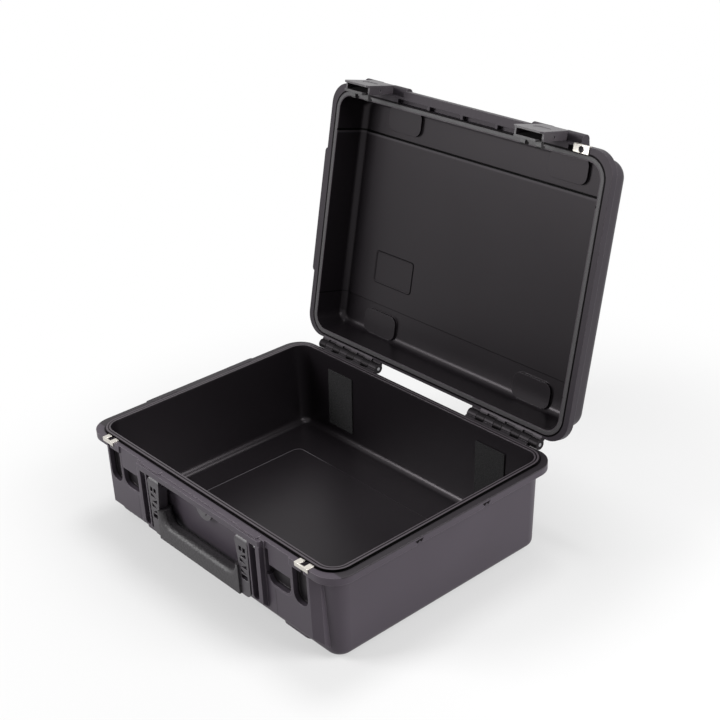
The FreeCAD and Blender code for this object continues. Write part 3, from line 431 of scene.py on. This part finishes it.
give(shell_finish("tub_plastic", 0.0, tub_masks, 0.30), "base_shell")
print("tub finished")


# %% Lid
def lid_masks(x, y, z, away):
    below_top = z.ramp(LID_CEILING + 1.2 * MM, LID_CEILING + 0.6 * MM)
    within = (away + LID_LEAN * (z - RIM)).ramp(WALL_OUT, WALL_IN) * below_top
    rim_top = z.ramp(RIM + 1.2 * MM, RIM + 0.9 * MM)
    half_frame = (FRAME_SIZE[0] / 2, FRAME_SIZE[1] / 2)
    frame_edge = outline_distance(x - FRAME_MIDDLE[0], y - FRAME_MIDDLE[1], half_frame, FRAME_CORNER)
    # Painted shade: dark lines along the label frame's edge and along the panel's front and back edges.
    marks = frame_edge.size().ramp(1.1 * MM, 0.5 * MM) * 0.8
    marks = marks.most((y + LID_PANEL_Y).size().ramp(1.9 * MM, 0.9 * MM))
    marks = marks.most((y - LID_PANEL_Y).size().ramp(1.0 * MM, 0.4 * MM) * 0.7)
    # Painted highlight: a paler line 3 mm inside the panel's front edge.
    step_highlight = (y + LID_PANEL_Y - 3 * MM).size().ramp(2.4 * MM, 0.4 * MM) * 0.25
    hinge = y.ramp(HINGE_FROM, HINGE_TO)
    # Painted shade: the lid's whole outside is painted 0.65 of the way to near black, and fully at the hinge.
    return within, hinge.most(0.65), rim_top, (marks * within).most(HINGE_SHADE * hinge), step_highlight * within


give(shell_finish("lid_plastic", LID_OPEN, lid_masks, 0.22), "lid_shell")
print("lid finished")

# %% [markdown]
# ## Latches, handles and the valve
#
# The moving parts are moulded from a stiffer, slightly greyer resin with a finer grain than the shells. Their edges
# are painted pale, partly as wear from fingers and partly as a painted highlight. The same finish in four tones keeps
# them related and still apart.

# %% Fitting plastic
def fitting_finish(name, dark, pale, rough):
    material, base = new_finish(name)
    place = place_of(base)
    grain = noise(place, 2200.0, 2.0)
    cloud = noise(place, 40.0, 2.0)
    normal, edge = rounded_edges(base, 0.7 * MM)
    bump = bumped(base, grain, 0.25, 0.1 * MM, normal)
    body = blend_colour(base, cloud, dark, pale)
    # Edges painted pale, partly as wear from fingers and partly as a painted highlight.
    colour = blend_colour(base, edge * 0.65, body, EDGE_WEAR_AND_HIGHLIGHT)
    return close_finish(material, base, Base_Color=colour, Roughness=rough + 0.08 * (cloud - 0.5), Normal=bump)


give(fitting_finish("latch_plastic", tone(0.024, 0.020, 0.024), tone(0.036, 0.031, 0.036), 0.36),
     "latch_left", "latch_right")
give(fitting_finish("trigger_plastic", tone(0.012, 0.011, 0.012), tone(0.018, 0.017, 0.018), 0.40),
     "trigger_left", "trigger_right")
give(fitting_finish("handle_plastic", tone(0.026, 0.022, 0.027), tone(0.038, 0.033, 0.039), 0.42),
     "front_handle", "side_handle")
give(fitting_finish("valve_plastic", tone(0.045, 0.041, 0.046), tone(0.060, 0.055, 0.061), 0.46),
     "vent_cap", "vent_nut")
print("fittings finished")

# %% [markdown]
# ## Rubber
#
# The grips are an overmoulded rubber with a pebbled skin that keeps a wet hand from slipping. The seal in the lid is
# the same kind of rubber, only smooth. Cells of a Voronoi pattern give the pebbles: each is painted a little paler at
# its middle as a highlight, and the size and depth of the cells tell the two apart, so one function makes both. The
# edges are painted pale as highlights too.

# %% Rubber
def rubber_finish(name, pebble, depth, rough):
    material, base = new_finish(name)
    place = place_of(base)
    cells = base.add_node("ShaderNodeTexVoronoi", {}, {"Vector": place, "Scale": pebble})
    dust = noise(place, 60.0, 3.0)
    normal, edge = rounded_edges(base, 0.8 * MM)
    bump = bumped(base, cells, 0.6, depth, normal)
    colour = blend_colour(base, dust, tone(0.008, 0.007, 0.008), tone(0.014, 0.012, 0.014))
    # Painted highlight: each pebble is painted paler towards its middle.
    colour = blend_colour(base, (cells * 0.9).least(1.0), tone(0.026, 0.023, 0.026), colour)
    # Painted highlight: the edges are painted pale.
    colour = blend_colour(base, edge * 0.4, colour, tone(0.10, 0.095, 0.10))
    return close_finish(material, base, Base_Color=colour, Roughness=rough + 0.1 * (dust - 0.5), Normal=bump)


give(rubber_finish("grip_rubber", 340.0, 0.7 * MM, 0.52), "front_grip", "side_grip")
give(rubber_finish("seal_rubber", 2500.0, 0.1 * MM, 0.50), "lid_gasket")
print("rubber finished")

# %% [markdown]
# ## Steel
#
# The padlock plates are stamped from stainless sheet and brushed along their length; in the photograph they are a
# warm pale grey, never a mirror. The pins are plain drawn steel. Stretching the noise along one axis turns specks
# into brushed lines, so the same function serves both.

# %% Steel
def steel_finish(name, colour, rough, stretch):
    material, base = new_finish(name)
    place = place_of(base, scale=stretch)
    lines = noise(place, 900.0, 3.0)
    smear = noise(place, 60.0, 2.0)
    normal = rounded_edges(base, 0.4 * MM)[0]
    bump = bumped(base, lines, 0.15, 0.05 * MM, normal)
    shaded = tone(*(0.85 * part for part in colour[:3]))
    tint = blend_colour(base, smear, shaded, colour)
    return close_finish(material, base, Base_Color=tint, Metallic=1.0, Roughness=rough + 0.16 * (lines - 0.5),
                        Normal=bump)


give(steel_finish("brushed_stainless", tone(0.66, 0.63, 0.58), 0.36, (0.05, 1.0, 1.0)),
     "base_hasp_left", "base_hasp_right", "lid_hasp_left", "lid_hasp_right")
give(steel_finish("pin_steel", tone(0.30, 0.30, 0.31), 0.30, (1.0, 0.1, 0.1)),
     "hinge_pin_left", "hinge_pin_right", "latch_pin_left", "latch_pin_right", "trigger_pin_left",
     "trigger_pin_right", "front_handle_pin_left", "front_handle_pin_right", "side_handle_pin_front",
     "side_handle_pin_back")
print("steel finished")

# %% [markdown]
# ## Fabric
#
# Two fuzzy strips are glued to the back wall inside; lid organisers and foam hang on them. A strip is a mat of tiny
# hooks and loops, so it takes no highlight at all and looks like a dull grey felt. Particle hair would be slow and
# would not export. A fine grid whose points stand out by different amounts gives the same broken surface, and a
# Solidify modifier gives the mat its back. The breathing disc of the valve is a pale felt too.

# %% Fabric finish
def felt_finish(name, dark, pale, scale):
    material, base = new_finish(name)
    place = place_of(base)
    pile = noise(place, scale, 4.0, 0.7)
    flat = base.add_node("ShaderNodeNewGeometry").output("Normal")
    bump = bumped(base, pile, 0.8, 0.5 * MM, flat)
    colour = blend_colour(base, pile.ramp(0.35, 0.65), dark, pale)
    return close_finish(material, base, Base_Color=colour, Roughness=0.95, Normal=bump, Specular_IOR_Level=0.2)


give(felt_finish("breathing_disc", tone(0.55, 0.55, 0.54), tone(0.75, 0.75, 0.73), 3000.0), "vent_membrane")
hook_felt = felt_finish("hook_fabric", tone(0.008, 0.008, 0.0085), tone(0.030, 0.029, 0.030), 1400.0)
print("felt finished")

# %% Fuzzy strips
from mathutils import noise as field

MAT_THICK = 1.6 * MM
PILE = 0.7 * MM
LOOP_PITCH = 1.4 * MM


def new_piece(name, shape, body, finish):
    """A mesh object from a bmesh, riding on a body."""
    mesh = bpy.data.meshes.new(name)
    shape.to_mesh(mesh)
    shape.free()
    piece = bpy.data.objects.new(name, mesh)
    scene.collection.objects.link(piece)
    mesh.materials.append(finish)
    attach(piece, body)
    return piece


def fuzzy_strip(node):
    """A felt mat on the sloping back wall, in the place of a strip's solid."""
    low, high = (Vector(corner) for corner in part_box(node))
    width, height = high.x - low.x, high.z - low.z
    lean = (high.y - low.y - MAT_THICK - PILE) / height
    shape = bmesh.new()
    bmesh.ops.create_grid(shape, x_segments=round(width / LOOP_PITCH), y_segments=round(height / LOOP_PITCH),
                          size=0.5)
    bmesh.ops.scale(shape, verts=shape.verts, vec=(width, height, 1.0))
    bmesh.ops.rotate(shape, verts=shape.verts, matrix=Matrix.Rotation(math.radians(90), 3, "X"))
    bmesh.ops.translate(shape, verts=shape.verts, vec=((low.x + high.x) / 2, 0.0, (low.z + high.z) / 2))
    for vert in shape.verts:
        tuft = 0.5 + 0.5 * field.noise(vert.co / LOOP_PITCH * 0.73)
        vert.co.y = high.y - lean * (high.z - vert.co.z) - MAT_THICK - PILE * tuft
    piece = new_piece(node + "_felt", shape, "base", hook_felt)
    back = piece.modifiers.new("mat", "SOLIDIFY")
    back.thickness = MAT_THICK
    back.offset = -1.0
    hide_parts(node)
    return piece


for side in ("left", "right"):
    strip = fuzzy_strip("hook_strip_" + side)
    print(strip.name, "points", len(strip.data.vertices))

# %% [markdown]
# ## The bare label frame
#
# Low on the lid's inner panel the mould leaves a shallow frame where an owner's label can go. Here it stays empty.
# It is one rectangle: its corners are rounded, it is inset, the middle is taken out and the ring that is left is
# raised by just under a millimetre, all on the closed lid where the panel is level. The last step swings it open
# with the lid.

# %% Label frame
FRAME_LINE = 1.8 * MM
FRAME_RAISE = 0.8 * MM

shape = bmesh.new()
bmesh.ops.create_grid(shape, x_segments=1, y_segments=1, size=0.5)
bmesh.ops.scale(shape, verts=shape.verts, vec=(FRAME_SIZE[0], FRAME_SIZE[1], 1.0))
bmesh.ops.bevel(shape, geom=shape.verts[:], offset=FRAME_CORNER, offset_type="OFFSET", affect="VERTICES",
                segments=6, profile=0.5, material=-1)
bmesh.ops.inset_region(shape, faces=shape.faces[:], thickness=FRAME_LINE, use_boundary=True,
                       use_even_offset=True)
middle_face = max(shape.faces, key=lambda face: len(face.verts))
bmesh.ops.delete(shape, geom=[middle_face], context="FACES_ONLY")
raised = bmesh.ops.extrude_face_region(shape, geom=shape.faces[:])["geom"]
raised_points = [item for item in raised if isinstance(item, bmesh.types.BMVert)]
bmesh.ops.translate(shape, verts=raised_points, vec=(0.0, 0.0, -FRAME_RAISE))
bmesh.ops.translate(shape, verts=shape.verts, vec=(FRAME_MIDDLE[0], FRAME_MIDDLE[1], LID_PANEL))
bmesh.ops.recalc_face_normals(shape, faces=shape.faces)
bmesh.ops.transform(shape, matrix=open_lid, verts=shape.verts)
label_frame = new_piece("label_frame", shape, "lid", bpy.data.materials["lid_plastic"])
print("label frame faces", len(label_frame.data.polygons))

# %% [markdown]
# ## The valve's raised disc
#
# The half-round valve cover under the handle's bracket carries a small raised disc at its middle. A short cone with
# its rim bevelled is enough; it stands on the front of the cover that the model already has.

# %% Valve disc
DISC_RADIUS = 6.5 * MM
DISC_HEIGHT = 1.2 * MM
DISC_SINK = 0.1 * MM
DISC_TAPER = 0.5 * MM
DISC_ROUND = 0.4 * MM
DISC_ABOVE = 12.5 * MM

cover_low = Vector(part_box("vent_cap")[0])
shape = bmesh.new()
bmesh.ops.create_cone(shape, cap_ends=True, cap_tris=False, segments=48, radius1=DISC_RADIUS,
                      radius2=DISC_RADIUS - DISC_TAPER, depth=DISC_HEIGHT)
rim_edges = [edge for edge in shape.edges if all(vert.co.z > 0 for vert in edge.verts)]
bmesh.ops.bevel(shape, geom=rim_edges, offset=DISC_ROUND, offset_type="OFFSET", affect="EDGES", segments=3,
                profile=0.5, material=-1)
bmesh.ops.rotate(shape, verts=shape.verts, matrix=Matrix.Rotation(math.radians(90), 3, "X"))
disc_middle = (0.0, cover_low.y + DISC_SINK - DISC_HEIGHT / 2, cover_low.z + DISC_ABOVE)
bmesh.ops.translate(shape, verts=shape.verts, vec=disc_middle)
bmesh.ops.recalc_face_normals(shape, faces=shape.faces)
valve_disc = new_piece("valve_disc", shape, "base", bpy.data.materials["valve_plastic"])
print("valve disc at", [round(v, 4) for v in disc_middle])

# %% [markdown]
# ## Floor
#
# The case stands on its feet on a plain white sweep. A matt floor alone turns grey away from the lamps, so what the
# camera and the reflections see is mixed with plain white: partly near the case, where the floor has to keep the
# soft shadow, and fully further out. The near part lies a little to the back right, where the shadow falls. The
# light that the floor throws back onto the case is not changed by this.

# %% Floor
FLOOR_Z = cad_box[0][2]
FLOOR_REACH = 9.0
SHADOW_MIDDLE = (0.12, 0.10)
WHITE_FROM, WHITE_TO = 0.40, 0.78
WHITE_NEAR = 0.42

shape = bmesh.new()
bmesh.ops.create_grid(shape, x_segments=1, y_segments=1, size=FLOOR_REACH)
bmesh.ops.translate(shape, verts=shape.verts, vec=(0.0, 0.0, FLOOR_Z))
floor_mesh = bpy.data.meshes.new("studio_floor")
shape.to_mesh(floor_mesh)
shape.free()
floor = bpy.data.objects.new("studio_floor", floor_mesh)
scene.collection.objects.link(floor)


def shown_directly(base):
    """1 for rays that the eye follows: from the camera, a reflection or a clear part."""
    path = base.add_node("ShaderNodeLightPath")
    return path.most(path.output("Is Glossy Ray")).most(path.output("Is Transmission Ray"))


material, base = new_finish("studio_white")
x, y = parts_of(place_of(base))[:2]
x, y = x - SHADOW_MIDDLE[0], y - SHADOW_MIDDLE[1]
far = (x * x + y * y).root().ramp(WHITE_FROM, WHITE_TO)
share = shown_directly(base) * (WHITE_NEAR + (1.0 - WHITE_NEAR) * far)
matt = base.add_node("ShaderNodeBsdfPrincipled", {}, {"Base Color": tone(0.60, 0.60, 0.60), "Roughness": 0.9,
                                                     "Specular IOR Level": 0.1})
white = base.add_node("ShaderNodeEmission", {}, {"Color": tone(1.0, 1.0, 1.0), "Strength": 1.0})
mixed = base.add_node("ShaderNodeMixShader", {}, {0: share, 1: matt, 2: white})
base.add_node("ShaderNodeOutputMaterial", {}, {"Surface": mixed})
floor.data.materials.append(material)
print("floor at", round(FLOOR_Z, 4))

# %% [markdown]
# ## Air and lamps
#
# A white room lights the case softly from all round, and three softboxes model it. The key hangs overhead and a
# little behind: its light looks into the tub and runs along the rounded foot of the walls as long soft lines. The
# fill stands at the right and opens up the outer wall. A softbox at the front left brightens the posts, the bracket
# and the wall behind the handle, and throws the shadow to the back right.

# %% Air
AIR_LEVEL = 0.32

world = bpy.data.worlds.new("studio_air")
scene.world = world
world.use_nodes = True
world.node_tree.nodes.clear()
air = Wire(world.node_tree)
glow = air.add_node("ShaderNodeBackground", {}, {"Color": tone(1.0, 1.0, 1.0),
                                                 "Strength": AIR_LEVEL + (1.0 - AIR_LEVEL) * shown_directly(air)})
air.add_node("ShaderNodeOutputWorld", {}, {"Surface": glow})
scene.view_settings.view_transform = "Standard"
print("view transform", scene.view_settings.view_transform)


# %% Lamps
def softbox(name, place, target, size, power):
    lamp = bpy.data.lights.new(name, "AREA")
    lamp.shape = "RECTANGLE"
    lamp.size, lamp.size_y = size
    lamp.energy = power
    holder = bpy.data.objects.new(name, lamp)
    scene.collection.objects.link(holder)
    holder.location = place
    holder.rotation_euler = (Vector(target) - Vector(place)).to_track_quat("-Z", "Y").to_euler()
    return holder


softbox("key_softbox", (-0.20, 0.60, 2.2), (0.0, 0.0, 0.1), (0.8, 0.8), 24.0)
softbox("fill_softbox", (1.8, 0.6, 1.2), (0.0, 0.0, 0.15), (1.4, 1.2), 50.0)
softbox("front_softbox", (-1.3, -1.9, 1.3), (0.0, -0.1, 0.1), (1.1, 1.1), 58.0)

# %% [markdown]
# ## The last update
#
# The view layer is brought up to date once more, so every piece stands where it was put. Nothing added here may make
# the case bigger than its model.

# %% Last update
bpy.context.view_layer.update()
